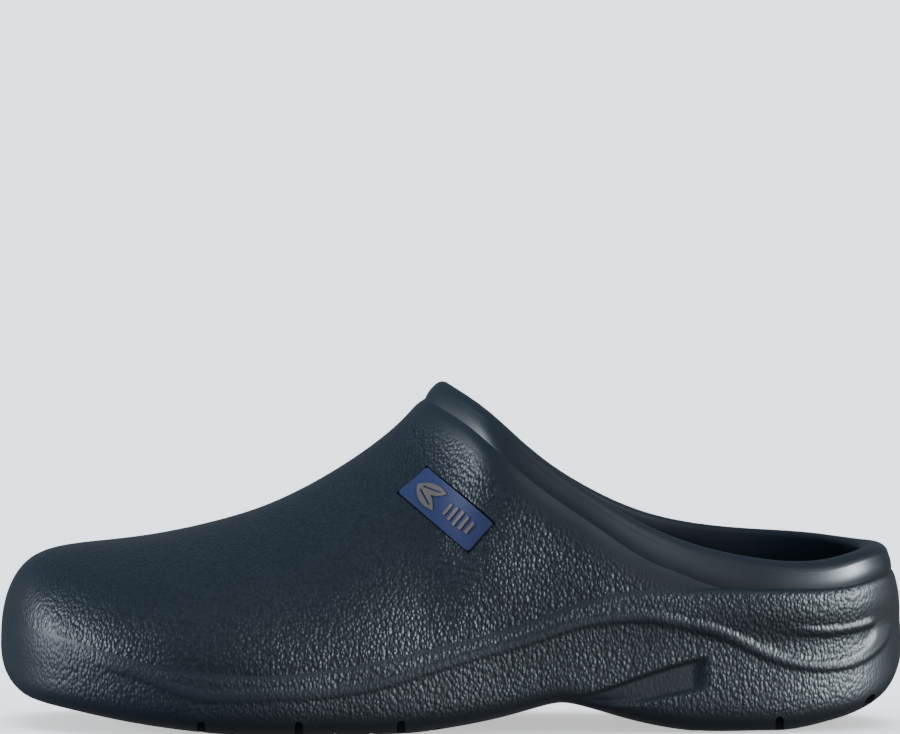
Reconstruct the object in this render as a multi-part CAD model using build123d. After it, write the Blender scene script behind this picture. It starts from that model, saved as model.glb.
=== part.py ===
from build123d import *
import math
import os

import numpy as np

# A left-foot moulded garden clog. Toe towards -X, heel towards +X, outer (little toe) side towards -Y,
# +Z up. The origin is on the ground under the middle of the clog's box. All sizes are in millimetres.

os.makedirs("parts", exist_ok=True)

# ---------------------------------------------------------------- driving dimensions
HALF_LENGTH = 142.5            # half of the outside length of the clog
GROUND = 0.0                   # height of the surface the clog stands on
SECTION_STATIONS = 17          # cross sections in each full-length loft
SECTION_POINTS = 28            # points round each cross section
END_CAP = 0.085                # how near the first and last sections are to the tips, in radians of stretch

# plan view: the widest outline of the outer form on each side, as (x, y)
OUTER_SIDE = [(-142.5, 13.0), (-141.2, -0.2), (-136.4, -16.2), (-126.9, -30.9), (-110.0, -43.4),
              (-91.8, -50.7), (-66.2, -54.4), (-40.7, -53.2), (-15.2, -50.0), (10.4, -45.9),
              (35.9, -43.2), (61.4, -40.8), (87.0, -37.9), (112.5, -32.8), (125.3, -27.0),
              (134.5, -18.8), (141.2, -6.3), (142.5, 3.0)]
INNER_SIDE = [(-142.5, 13.0), (-141.2, 24.7), (-136.4, 35.8), (-126.9, 44.8), (-110.0, 51.6),
              (-91.8, 54.0), (-66.2, 53.7), (-34.3, 50.8), (4.0, 46.7), (29.5, 43.2), (55.1, 42.2),
              (80.6, 43.1), (106.1, 41.6), (118.9, 37.7), (131.6, 28.8), (138.0, 20.2), (141.2, 12.5),
              (142.5, 3.0)]

# side view heights, as (x, z): crest of the outer form, which goes on as a closed dome over the foot opening
CREST = [(-142.5, 25.0), (-141.0, 38.5), (-138.5, 45.0), (-133.8, 50.8), (-124.2, 55.0), (-111.5, 56.8),
         (-98.8, 58.3), (-86.1, 60.5), (-73.4, 63.5), (-60.7, 67.4), (-48.0, 73.0), (-35.3, 80.2),
         (-22.6, 89.0), (-8.6, 101.5), (2.0, 113.0), (14.5, 124.0), (25.0, 125.0), (37.0, 118.0),
         (48.0, 110.0), (67.0, 92.0), (85.0, 80.0), (110.0, 78.0), (125.0, 72.0), (133.0, 63.0),
         (136.3, 57.5), (139.5, 45.5), (141.2, 38.0), (142.5, 24.3)]
WIDEST = [(-142.5, 25.0), (-110.0, 21.0), (-60.0, 21.0), (0.0, 22.0), (60.0, 22.0), (142.5, 24.3)]
UNDERSIDE = [(-142.5, 25.0), (-140.4, 16.0), (-138.2, 13.0), (-134.7, 10.2), (-129.3, 8.2), (-117.9, 5.9),
             (-105.0, 3.5), (-92.5, 1.6), (-79.7, 0.1), (-67.0, -0.9), (-40.0, -1.1), (-15.0, -0.8),
             (2.9, 1.5), (15.6, 4.1), (28.3, 7.6), (34.5, 8.8), (41.0, 7.8), (53.7, 4.0), (66.4, 0.9),
             (79.0, -0.8), (92.0, -1.1), (104.0, -0.8), (117.2, 1.6), (126.8, 4.4), (133.1, 7.5),
             (137.9, 11.6), (141.0, 17.0), (142.5, 24.3)]
# where the crest runs in plan, as (x, y)
CREST_LINE = [(-142.5, 13.0), (-118.0, 8.5), (-90.0, 7.0), (-48.0, 8.5), (-17.0, 10.5), (2.0, 10.5),
              (14.5, 7.0), (25.0, 4.0), (48.0, 0.0), (85.0, -1.0), (110.0, -3.0), (142.5, 3.0)]
# fullness of the shoulders: a small spread gives a tent, a large one a box
SPREAD = [(-142.5, 2.0), (-118.0, 2.0), (-90.0, 1.85), (-48.0, 1.6), (-17.0, 1.38), (15.0, 1.38),
          (48.0, 1.6), (85.0, 2.0), (142.5, 2.0)]
RISE = [(-142.5, 2.1), (-118.0, 2.2), (-90.0, 2.1), (-48.0, 1.9), (-17.0, 1.8), (0.0, 1.9), (10.0, 2.5),
        (25.0, 2.6), (48.0, 2.7), (85.0, 3.0), (142.5, 3.0)]
SOLE_SQUARENESS = 6.0          # exponent of the lower half of each section
CREST_ROUNDING = 0.18          # rounds the ridge of a tent-like section
CREST_DRIFT = 1.5              # how fast the section's middle moves to the crest line with height

# inner form: the foot space
FOOT_SPACE_ENDS = (-134.5, 132.0)
FOOT_SPACE_WIDTH = [(-142.5, 0.86), (-118.0, 0.875), (-66.0, 0.885), (-15.0, 0.872), (15.0, 0.862),
                    (48.0, 0.83), (85.0, 0.815), (110.0, 0.84), (142.5, 0.88)]
FOOT_SPACE_CREST = [(-142.5, 29.0), (-141.0, 37.5), (-138.5, 42.5), (-133.8, 47.0), (-124.2, 50.2),
                    (-111.5, 51.8), (-98.8, 53.5), (-86.1, 55.7), (-73.4, 58.7), (-60.7, 62.4),
                    (-48.0, 67.6), (-35.3, 74.4), (-22.6, 82.8), (-8.6, 95.0), (2.0, 106.5),
                    (14.5, 119.0), (25.0, 122.0), (37.0, 117.0), (48.0, 111.0), (67.0, 97.0),
                    (85.0, 89.0), (110.0, 86.0), (125.0, 80.0), (133.0, 71.0), (139.5, 53.0),
                    (142.5, 34.0)]
FOOT_SPACE_DEPTH = 3.0         # how far the inner form dips below the floor before it is cut to it
FOOT_SPACE_WIDEST = 5.0        # height over the floor at which the foot space is widest
FLOOR = [(-142.5, 19.0), (-120.0, 16.2), (-95.0, 14.4), (-70.0, 13.8), (-40.0, 14.2), (0.0, 17.2),
         (35.0, 21.0), (70.0, 23.3), (100.0, 23.8), (142.5, 24.2)]

# foot opening: mean height of the rim, and how much higher the inner side is than the outer one
RIM = [(-30.0, 126.6), (-12.0, 115.1), (-3.0, 109.1), (11.1, 99.6), (25.7, 86.6), (43.2, 74.3),
       (60.0, 65.5), (78.8, 59.6), (95.3, 57.0), (111.5, 55.9), (123.6, 56.2), (133.0, 57.4),
       (150.0, 60.5)]
RIM_TILT = [(-30.0, -4.5), (-3.0, -4.5), (25.7, -4.5), (43.2, -3.4), (60.0, -0.9), (78.8, 2.5),
            (95.3, 4.8), (111.5, 6.0), (123.6, 4.0), (134.0, 0.0), (150.0, 0.0)]
RIM_TILT_SPAN = 72.0           # distance across the opening over which the tilt is measured
RIM_SPAN = (-30.0, 150.0)      # where the cut along the rim starts and ends

# parting line between the upper shell and the sole unit, as (x, z)
PARTING_SPAN = (-150.0, 150.0)
PARTING = [(-150.0, 33.5), (-130.0, 31.8), (-117.9, 29.1), (-97.2, 23.6), (-77.8, 20.6), (-50.8, 19.9),
           (-31.8, 22.2), (-3.5, 28.1), (28.9, 37.3), (45.0, 43.0), (60.0, 45.2), (150.0, 45.2)]

# loose insole
INSOLE_FOAM_THICKNESS = 3.4    # counted from the floor
INSOLE_COVER_THICKNESS = 1.2
INSOLE_CLEARANCE = 0.3         # between the floor and the loose insole
INSOLE_WALL_GAP = 1.4
INSOLE_RIM_GAP = 1.0           # keeps the heel part clear of the collar as it lifts out
INSOLE_EDGE_HEIGHT = 3.0       # over the floor, where the gap to the wall is measured
INSOLE_ENDS = (-132.5, 130.4)
COLLAR_BACK_X = 126.0          # behind here the collar turns in towards the heel's tip
INSOLE_NARROWING = 40.0        # length over which the insole narrows behind its bend
INSOLE_BEND_X = 14.0           # where the insole bends as its heel part is lifted
INSOLE_SEAM = 0.4
STITCH_INSET = 3.4
STITCH_PITCH = 3.3
STITCH_LENGTH = 1.9
STITCH_WIDTH = 0.7
STITCH_HEIGHT = 0.35
STITCH_LIFT = 0.08             # the thread lies just clear of the curved cover
PRINT_HEIGHT = 0.15
PRINT_CENTRE_X = 84.0
PRINT_CENTRE_Y = 1.0
PRINT_LENGTH = 46.0
PRINT_WIDTH = 17.0
PRINT_STEM_WIDTH = 1.6
PRINT_MIDRIB_WIDTH = 0.9
PRINT_LEAF_ANGLE = 42.0        # between a side leaf and the stem
# side leaves: where they leave the stem and how long and wide they are, as shares of the print
PRINT_SIDE_LEAVES = ((0.15, 0.32, 0.40), (0.35, 0.27, 0.35))
PRINT_END_LEAF = (0.50, 0.50, 0.55)

# badge on the outer side of the vamp
BADGE_X = -1.6
BADGE_Z = 70.6
BADGE_LONG_SLOPE = -0.78       # fall of the badge's long side in side view
BADGE_LENGTH = 33.0
BADGE_WIDTH = 12.0
BADGE_CORNER = 1.2
BADGE_PROUD = 0.4
BADGE_LET_IN = 0.8
BADGE_GAP = 0.35
BADGE_CUT = (-5.0, 12.0)       # where the badge's cutters start and end, across the surface
BADGE_SURFACE_REACH = 32.0     # half length of the piece of surface that the badge follows
BADGE_SURFACE_STATIONS = 9
MOTIF_PROUD = 0.4
LEAF_ROOT_X = -13.5            # where the motif's two leaves meet, along the badge
LEAF_LENGTH = 11.5
LEAF_HALF_WIDTH = 1.9
LEAF_ANGLE = 17.0              # of each leaf to the badge's long side
MIDRIB_LENGTH = 7.0
MIDRIB_WIDTH = 0.6
BAR_COUNT = 5
BAR_X = 1.6                    # the first bar's place along the badge
BAR_PITCH = 2.6
BAR_WIDTH = 1.1
BAR_LENGTH = 5.6               # the middle bar; each one is shorter than the next towards the ends
BAR_STEP = 0.7

# grooves of the tread
GROOVE_PLACES = (-77.8, -47.3, -15.4, 103.3)
GROOVE_WIDTH = 2.4
GROOVE_END_INSET = 6.5         # between the ends of a groove and the sole's side walls
GROOVE_DEPTH = 2.5
NOTCH_HEIGHT = 4.6
NOTCH_REACH = 3.5

FLOOR_SAMPLES = 25             # points that the floor and the insole's layers share along the clog
TRIM_SAMPLES = 13              # points along the rim and the parting line
REACH = 160.0                  # beyond the tips
SIDE = 70.0                    # half width of the solids that trim the forms
TOP = 140.0                    # height above everything
BOTTOM = -20.0                 # height below everything
HALVINGS = 44                  # steps of each search for a surface
BADGE_FEEL = 4.0               # distance over which the surface under the badge is felt for its slope


# ---------------------------------------------------------------- curves and forms
def stretch(x):
    """Coordinate in which a round tip is a smooth graph: an angle from 0 at the toe to pi at the heel."""
    return np.arccos(np.clip(-np.asarray(x, float) / HALF_LENGTH, -1.0, 1.0))


def natural_cubic(knots, values):
    """Return a function that follows the natural cubic through the values at the knots."""
    knots = np.asarray(knots, float)
    values = np.asarray(values, float)
    gap = np.diff(knots)
    slope = np.diff(values) / gap
    size = len(knots)
    system = np.eye(size)
    right = np.zeros(size)
    for i in range(1, size - 1):
        system[i, i - 1:i + 2] = gap[i - 1], 2 * (gap[i - 1] + gap[i]), gap[i]
        right[i] = 6 * (slope[i] - slope[i - 1])
    bend = np.linalg.solve(system, right)

    def value(t):
        i = np.clip(np.searchsorted(knots, t) - 1, 0, size - 2)
        a = knots[i + 1] - t
        b = t - knots[i]
        h = gap[i]
        return (bend[i] * a ** 3 + bend[i + 1] * b ** 3) / (6 * h) \
            + (values[i] / h - bend[i] * h / 6) * a + (values[i + 1] / h - bend[i + 1] * h / 6) * b

    return value


def tip_curve(points):
    """A driving curve that may end in round tips, as a function of x."""
    value = natural_cubic([stretch(x) for x, _ in points], [v for _, v in points])
    return lambda x: value(stretch(x))


def plain_curve(points):
    """A driving curve without tips, as a function of x."""
    return natural_cubic([x for x, _ in points], [v for _, v in points])


outer_side = tip_curve(OUTER_SIDE)
inner_side = tip_curve(INNER_SIDE)
crest = tip_curve(CREST)
widest = tip_curve(WIDEST)
underside = tip_curve(UNDERSIDE)
crest_line = tip_curve(CREST_LINE)
spread = tip_curve(SPREAD)
rise = tip_curve(RISE)
foot_space_width = tip_curve(FOOT_SPACE_WIDTH)
foot_space_crest = tip_curve(FOOT_SPACE_CREST)
floor_height = tip_curve(FLOOR)
rim = plain_curve(RIM)
rim_tilt = plain_curve(RIM_TILT)
parting = plain_curve(PARTING)


def outer_station(x):
    """Middle, half width, heights and fullness of the outer form's section at x."""
    left, right = outer_side(x), inner_side(x)
    return {"x": x, "middle": (left + right) / 2, "half": (right - left) / 2, "ridge": crest_line(x),
            "low": underside(x), "wide": widest(x), "high": crest(x), "spread": spread(x), "rise": rise(x)}


def foot_station(x):
    """The same for the foot space; x is on the foot space, which is shorter than the outer form."""
    start, end = FOOT_SPACE_ENDS
    far = HALF_LENGTH * (2 * (x - start) / (end - start) - 1)
    station = outer_station(far)
    station["x"] = x
    station["half"] *= foot_space_width(far)
    station["low"] = floor_height(far) - FOOT_SPACE_DEPTH
    station["wide"] = floor_height(far) + FOOT_SPACE_WIDEST
    station["high"] = foot_space_crest(far)
    return station


def level(station, y, z):
    """Under 1 inside the section, over 1 outside it."""
    above = max(z - station["wide"], 0.0) / max(station["high"] - station["wide"], 1e-6)
    below = max(station["wide"] - z, 0.0) / max(station["wide"] - station["low"], 1e-6)
    middle = station["middle"] + (station["ridge"] - station["middle"]) * min(above, 1.2) ** CREST_DRIFT
    across = abs(y - middle) / station["half"]
    if z >= station["wide"]:
        soft = CREST_ROUNDING
        across = (math.hypot(across, soft) - soft) / (math.hypot(1.0, soft) - soft)
        return across ** station["spread"] + above ** station["rise"]
    return across ** SOLE_SQUARENESS + below ** SOLE_SQUARENESS


def section_point(station, angle):
    """Point of the section in the direction of the angle."""
    tall = station["high"] - station["wide"] if math.sin(angle) >= 0 else station["wide"] - station["low"]
    step_y = station["half"] * math.cos(angle)
    step_z = tall * math.sin(angle)
    near, far = 0.2, 2.0
    for _ in range(HALVINGS):
        middle = (near + far) / 2
        inside = level(station, station["middle"] + middle * step_y, station["wide"] + middle * step_z) < 1
        near, far = (middle, far) if inside else (near, middle)
    return station["middle"] + near * step_y, station["wide"] + near * step_z


def wall_y(station, z, side):
    """Y of the section's wall at the height z, on side -1 or +1."""
    near, far = station["middle"], station["middle"] + side * station["half"] * 1.2
    for _ in range(HALVINGS):
        middle = (near + far) / 2
        near, far = (middle, far) if level(station, middle, z) < 1 else (near, middle)
    return near


def section_ring(station):
    """Closed outline of the section, beginning at its lowest point so that neighbours line up."""
    angles = [-math.pi / 2 - 2 * math.pi * i / SECTION_POINTS for i in range(SECTION_POINTS)]
    points = [section_point(station, angle) for angle in angles]
    return Wire([Edge.make_spline([(station["x"], y, z) for y, z in points], periodic=True)])


def form_between(make_station, places):
    """Loft through the sections at the given places."""
    return Solid.make_loft([section_ring(make_station(x)) for x in places])


def full_places(start, end):
    """Places from tip to tip, closer together towards the tips."""
    angles = np.linspace(END_CAP, math.pi - END_CAP, SECTION_STATIONS)
    return [(start + end) / 2 - (end - start) / 2 * math.cos(a) for a in angles]


def side_profile(curve, places, y, edge_height):
    """Face in the XZ plane at y, between the curve and a level line."""
    points = [(float(x), y, float(curve(x))) for x in places]
    first, last = points[0], points[-1]
    corners = [last, (last[0], y, edge_height), (first[0], y, edge_height), first]
    return make_face(Spline(*points) + Polyline(*corners))


def trim_solid(curve, edge_height, span, count=TRIM_SAMPLES, tilt=None):
    """Solid over the whole width between the curve and a level: above it or below it."""
    places = np.linspace(*span, count)

    def at(side):
        if tilt is None:
            return curve
        return lambda x: curve(x) + side * SIDE / RIM_TILT_SPAN * tilt(x)

    faces = [side_profile(at(side), places, side * SIDE, edge_height) for side in (-1, 1)]
    return loft(faces, ruled=True)


# ---------------------------------------------------------------- shell and sole
def make_shell():
    """Outer form less the foot space and the foot opening."""
    outer = form_between(outer_station, full_places(-HALF_LENGTH, HALF_LENGTH))
    foot = form_between(foot_station, full_places(*FOOT_SPACE_ENDS))
    foot -= trim_solid(floor_height, BOTTOM, (-HALF_LENGTH, HALF_LENGTH), count=FLOOR_SAMPLES)
    shell = outer - foot
    shell -= trim_solid(rim, TOP, RIM_SPAN, tilt=rim_tilt)
    shell -= Pos(0, 0, (GROUND + BOTTOM) / 2) * Box(2 * REACH, 2 * SIDE, GROUND - BOTTOM)
    return shell


def cut_tread(sole):
    """Cross grooves under the sole, each with a taller notch in line with it at both side edges."""
    for x in GROOVE_PLACES:
        start, end = outer_side(x) + GROOVE_END_INSET, inner_side(x) - GROOVE_END_INSET
        sole -= Pos(x, (start + end) / 2, GROUND) * Box(GROOVE_WIDTH, end - start, 2 * GROOVE_DEPTH)
        for edge, inwards in ((outer_side(x), 1), (inner_side(x), -1)):
            y = edge + inwards * NOTCH_REACH / 2
            sole -= Pos(x, y, GROUND) * Box(GROOVE_WIDTH, NOTCH_REACH, 2 * NOTCH_HEIGHT)
    return sole


# ---------------------------------------------------------------- badge
def badge_plane():
    """Plane on the outer side of the vamp, x along the badge and z out of the surface."""
    def surface_y(x, z):
        return wall_y(outer_station(x), z, -1)

    step = BADGE_FEEL
    centre = Vector(BADGE_X, surface_y(BADGE_X, BADGE_Z), BADGE_Z)
    along_x = Vector(2 * step, surface_y(BADGE_X + step, BADGE_Z) - surface_y(BADGE_X - step, BADGE_Z), 0)
    along_z = Vector(0, surface_y(BADGE_X, BADGE_Z + step) - surface_y(BADGE_X, BADGE_Z - step), 2 * step)
    long_way = along_x / (2 * step) + along_z / (2 * step) * BADGE_LONG_SLOPE
    return Plane(origin=centre, x_dir=long_way, z_dir=along_x.cross(along_z))


def motif_sketch():
    """Two leaves from one root at one end, and a row of short bars at the other."""
    left, right = (0, 0), (LEAF_LENGTH, 0)
    blade = make_face(ThreePointArc(left, (LEAF_LENGTH / 2, LEAF_HALF_WIDTH), right)
                      + ThreePointArc(right, (LEAF_LENGTH / 2, -LEAF_HALF_WIDTH), left))
    leaf = blade - Pos(LEAF_LENGTH / 2, 0) * Rectangle(MIDRIB_LENGTH, MIDRIB_WIDTH)
    motif = Sketch()
    for side in (-1, 1):
        motif += Pos(LEAF_ROOT_X, 0) * Rot(0, 0, side * LEAF_ANGLE) * leaf
    for i in range(BAR_COUNT):
        length = BAR_LENGTH - BAR_STEP * abs(i - BAR_COUNT // 2)
        motif += Pos(BAR_X + BAR_PITCH * i, 0) * Rectangle(BAR_WIDTH, length)
    return motif


def form_under_badge(lift):
    """The outer form round the badge, with its surface lifted."""
    def station_at(x):
        station = outer_station(x)
        station["half"] += lift
        station["high"] += lift
        return station

    places = np.linspace(BADGE_X - BADGE_SURFACE_REACH, BADGE_X + BADGE_SURFACE_REACH,
                         BADGE_SURFACE_STATIONS)
    return form_between(station_at, places)


def make_badge(upper):
    """Return the upper with the badge's recess, the plate in it and the motif on it, all curved alike."""
    start, end = BADGE_CUT
    base = badge_plane().offset(start)

    def post(sketch):
        return extrude(base * sketch, amount=end - start)

    recess = post(RectangleRounded(BADGE_LENGTH + 2 * BADGE_GAP, BADGE_WIDTH + 2 * BADGE_GAP,
                                   BADGE_CORNER + BADGE_GAP))
    outline = post(RectangleRounded(BADGE_LENGTH, BADGE_WIDTH, BADGE_CORNER))
    bed, face = form_under_badge(-BADGE_LET_IN), form_under_badge(BADGE_PROUD)
    plate = (outline & face) - bed
    motif = (post(motif_sketch()) & form_under_badge(BADGE_PROUD + MOTIF_PROUD)) - face
    return upper - (recess - bed), plate, motif


# ---------------------------------------------------------------- insole
def insole_edge(x, side, inset=0.0):
    """Y of the insole's edge: clear of the wall and, behind the bend, narrow enough to pass the collar."""
    height = floor_height(x) + INSOLE_EDGE_HEIGHT
    wall = side * wall_y(foot_station(x), height, side) - INSOLE_WALL_GAP
    if x > INSOLE_BEND_X:
        collar_x = min(x, COLLAR_BACK_X)
        collar = side * wall_y(foot_station(collar_x), float(rim(x)), side) - INSOLE_RIM_GAP
        blend = min((x - INSOLE_BEND_X) / INSOLE_NARROWING, 1.0)
        wall = min(wall, wall + (collar - wall) * blend)
    return side * (wall - inset)


def insole_outline(inset=0.0, count=15):
    """Closed list of plan points of the insole, round tips at both ends."""
    start, end = INSOLE_ENDS[0] + inset, INSOLE_ENDS[1] - inset
    angles = np.linspace(0.0, math.pi, count)[1:-1]
    places = [(start + end) / 2 - (end - start) / 2 * math.cos(a) for a in angles]
    toe = (start, (insole_edge(places[0], -1) + insole_edge(places[0], 1)) / 2)
    heel = (end, (insole_edge(places[-1], -1) + insole_edge(places[-1], 1)) / 2)
    near_side = [(x, insole_edge(x, -1, inset)) for x in places]
    far_side = [(x, insole_edge(x, 1, inset)) for x in places]
    return [toe] + near_side + [heel] + far_side[::-1]


def insole_slab(low, high):
    """Layer between two heights over the floor, over the whole clog."""
    places = np.linspace(-HALF_LENGTH, HALF_LENGTH, FLOOR_SAMPLES)
    lower = Spline(*[(float(x), 0, float(floor_height(x) + low)) for x in places])
    upper = Spline(*[(float(x), 0, float(floor_height(x) + high)) for x in places])
    ends = [Line(lower @ i, upper @ i) for i in (0, 1)]
    return extrude(make_face(lower + upper + ends[0] + ends[1]), amount=SIDE, dir=(0, 1, 0), both=True)


def plan_post(sketch):
    return extrude(sketch, amount=TOP)


def insole_halves():
    """Plan regions in front of and behind the bend, with the seam left between them."""
    reach = 2 * HALF_LENGTH
    front = Pos(INSOLE_BEND_X - INSOLE_SEAM - reach / 2, 0) * Rectangle(reach, 2 * SIDE)
    rear = Pos(INSOLE_BEND_X + reach / 2, 0) * Rectangle(reach, 2 * SIDE)
    return {"front": plan_post(front), "rear": plan_post(rear)}


def make_stitches():
    """Dashes of thread at an even pitch along a line inside the insole's edge, lying on the cover."""
    line = Wire([Edge.make_spline(insole_outline(STITCH_INSET), periodic=True)])
    count = round(line.length / STITCH_PITCH)
    top = INSOLE_FOAM_THICKNESS + INSOLE_COVER_THICKNESS + STITCH_LIFT
    dashes = []
    for i in range(count):
        spot, way = line @ ((i + 0.5) / count), line % ((i + 0.5) / count)
        step = STITCH_LENGTH / 2
        rise_along = float(floor_height(spot.X + way.X * step) - floor_height(spot.X - way.X * step))
        along = Vector(way.X, way.Y, rise_along / STITCH_LENGTH)
        across = Vector(0, 0, 1).cross(along)
        base = Vector(spot.X, spot.Y, float(floor_height(spot.X)) + top)
        plane = Plane(origin=base, x_dir=along, z_dir=along.cross(across))
        dashes.append(extrude(plane * Rectangle(STITCH_LENGTH, STITCH_WIDTH), amount=STITCH_HEIGHT))
    return dashes


def print_sketch():
    """A sprig of leaves on a stem, lying along the heel seat."""
    def leaf(root, length, width):
        root, length, width = root * PRINT_LENGTH, length * PRINT_LENGTH, width * PRINT_WIDTH
        left, right = (0, 0), (length, 0)
        blade = make_face(ThreePointArc(left, (length / 2, width / 2), right)
                          + ThreePointArc(right, (length / 2, -width / 2), left))
        midrib = Pos(length / 2, 0) * Rectangle(length * 0.7, PRINT_MIDRIB_WIDTH)
        return root, blade - midrib

    root, end_leaf = leaf(*PRINT_END_LEAF)
    sketch = Pos(root / 2, 0) * Rectangle(root, PRINT_STEM_WIDTH) + Pos(root, 0) * end_leaf
    for sizes in PRINT_SIDE_LEAVES:
        root, side_leaf = leaf(*sizes)
        for side in (-1, 1):
            sketch += Pos(root, 0) * Rot(0, 0, side * PRINT_LEAF_ANGLE) * side_leaf
    return Pos(PRINT_CENTRE_X - PRINT_LENGTH / 2, PRINT_CENTRE_Y) * sketch


def make_insole():
    """All solids of the loose insole, by node name."""
    plan = plan_post(make_face(Spline(*insole_outline(), periodic=True)))
    top = INSOLE_FOAM_THICKNESS + INSOLE_COVER_THICKNESS
    foam = plan & insole_slab(INSOLE_CLEARANCE, INSOLE_FOAM_THICKNESS)
    cover = plan & insole_slab(INSOLE_FOAM_THICKNESS, top)
    nodes = {}
    for half, region in insole_halves().items():
        nodes["insole_foam_" + half] = foam & region
        nodes["insole_cover_" + half] = cover & region
    stitches = make_stitches()
    for half, side in (("front", -1), ("rear", 1)):
        own = [s for s in stitches if side * (s.center().X - INSOLE_BEND_X) > STITCH_LENGTH]
        nodes["insole_stitching_" + half] = Compound([s.solid() for s in own])
    nodes["insole_print"] = plan_post(print_sketch()) & insole_slab(top, top + PRINT_HEIGHT)
    return nodes


# ---------------------------------------------------------------- assembly
def main():
    shell = make_shell()
    below_parting = trim_solid(parting, BOTTOM, PARTING_SPAN)
    sole = cut_tread(shell & below_parting)
    upper = shell - below_parting
    upper, plate, motif = make_badge(upper)
    nodes = {"upper_shell": upper, "sole_unit": sole, "badge_plate": plate, "badge_motif": motif}
    nodes.update(make_insole())
    for name, shape in nodes.items():
        export_step(shape, "parts/" + name + ".step")


main()
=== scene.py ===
import math

import bmesh
import bpy
import numpy as np
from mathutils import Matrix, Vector


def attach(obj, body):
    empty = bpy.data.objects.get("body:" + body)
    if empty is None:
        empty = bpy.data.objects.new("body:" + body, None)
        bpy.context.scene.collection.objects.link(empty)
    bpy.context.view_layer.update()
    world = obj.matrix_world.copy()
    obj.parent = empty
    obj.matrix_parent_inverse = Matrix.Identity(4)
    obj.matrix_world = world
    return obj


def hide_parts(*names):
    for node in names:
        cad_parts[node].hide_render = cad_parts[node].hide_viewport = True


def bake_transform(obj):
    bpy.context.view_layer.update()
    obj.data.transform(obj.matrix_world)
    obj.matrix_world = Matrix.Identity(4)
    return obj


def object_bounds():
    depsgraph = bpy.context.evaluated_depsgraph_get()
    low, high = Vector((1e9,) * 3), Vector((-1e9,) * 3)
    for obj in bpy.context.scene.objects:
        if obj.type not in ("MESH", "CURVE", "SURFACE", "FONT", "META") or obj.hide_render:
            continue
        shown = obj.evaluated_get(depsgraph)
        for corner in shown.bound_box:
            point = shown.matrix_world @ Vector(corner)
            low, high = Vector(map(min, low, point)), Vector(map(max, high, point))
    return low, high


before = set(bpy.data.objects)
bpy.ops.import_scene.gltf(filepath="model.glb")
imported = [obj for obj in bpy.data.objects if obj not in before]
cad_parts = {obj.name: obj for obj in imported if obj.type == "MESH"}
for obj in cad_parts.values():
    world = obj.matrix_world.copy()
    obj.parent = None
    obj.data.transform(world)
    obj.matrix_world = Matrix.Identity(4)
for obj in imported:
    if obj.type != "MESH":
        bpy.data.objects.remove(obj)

CAD_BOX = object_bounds()
MM = 0.001  # tables and functions are in millimetres, the meshes in metres

# ---- driving outlines, the same as the CAD's
# plan outlines are (x, y), heights (x, z), and the others (x, value)
HALF_LENGTH = 142.5
OUTER_SIDE = [(-142.5, 13), (-141.2, -0.2), (-136.4, -16.2), (-126.9, -30.9), (-110, -43.4), (-91.8, -50.7),
    (-66.2, -54.4), (-40.7, -53.2), (-15.2, -50), (10.4, -45.9), (35.9, -43.2), (61.4, -40.8), (87, -37.9),
    (112.5, -32.8), (125.3, -27), (134.5, -18.8), (141.2, -6.3), (142.5, 3)]
INNER_SIDE = [(-142.5, 13), (-141.2, 24.7), (-136.4, 35.8), (-126.9, 44.8), (-110, 51.6), (-91.8, 54),
    (-66.2, 53.7), (-34.3, 50.8), (4, 46.7), (29.5, 43.2), (55.1, 42.2), (80.6, 43.1), (106.1, 41.6),
    (118.9, 37.7), (131.6, 28.8), (138, 20.2), (141.2, 12.5), (142.5, 3)]
CREST = [(-142.5, 25), (-141, 38.5), (-138.5, 45), (-133.8, 50.8), (-124.2, 55), (-111.5, 56.8),
    (-98.8, 58.3), (-86.1, 60.5), (-73.4, 63.5), (-60.7, 67.4), (-48, 73), (-35.3, 80.2), (-22.6, 89),
    (-8.6, 101.5), (2, 113), (14.5, 124), (25, 125), (37, 118), (48, 110), (67, 92), (85, 80), (110, 78),
    (125, 72), (133, 63), (136.3, 57.5), (139.5, 45.5), (141.2, 38), (142.5, 24.3)]
WIDEST = [(-142.5, 25), (-110, 21), (-60, 21), (0, 22), (60, 22), (142.5, 24.3)]
UNDERSIDE = [(-142.5, 25), (-140.4, 16), (-138.2, 13), (-134.7, 10.2), (-129.3, 8.2), (-117.9, 5.9),
    (-105, 3.5), (-92.5, 1.6), (-79.7, 0.1), (-67, -0.9), (-40, -1.1), (-15, -0.8), (2.9, 1.5), (15.6, 4.1),
    (28.3, 7.6), (34.5, 8.8), (41, 7.8), (53.7, 4), (66.4, 0.9), (79, -0.8), (92, -1.1), (104, -0.8),
    (117.2, 1.6), (126.8, 4.4), (133.1, 7.5), (137.9, 11.6), (141, 17), (142.5, 24.3)]
CREST_LINE = [(-142.5, 13), (-118, 8.5), (-90, 7), (-48, 8.5), (-17, 10.5), (2, 10.5), (14.5, 7), (25, 4),
    (48, 0), (85, -1), (110, -3), (142.5, 3)]
SPREAD = [(-142.5, 2), (-118, 2), (-90, 1.85), (-48, 1.6), (-17, 1.38), (15, 1.38), (48, 1.6), (85, 2),
    (142.5, 2)]
RISE = [(-142.5, 2.1), (-118, 2.2), (-90, 2.1), (-48, 1.9), (-17, 1.8), (0, 1.9), (10, 2.5), (25, 2.6),
    (48, 2.7), (85, 3), (142.5, 3)]
SOLE_SQUARENESS = 6.0  # exponent of the lower half of each section
CREST_ROUNDING = 0.18  # rounds the ridge of a tent-like section
CREST_DRIFT = 1.5  # how fast the section's middle moves to the crest line with height
OUTSIDE = 9.0  # level given to everything beyond a form's ends

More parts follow.
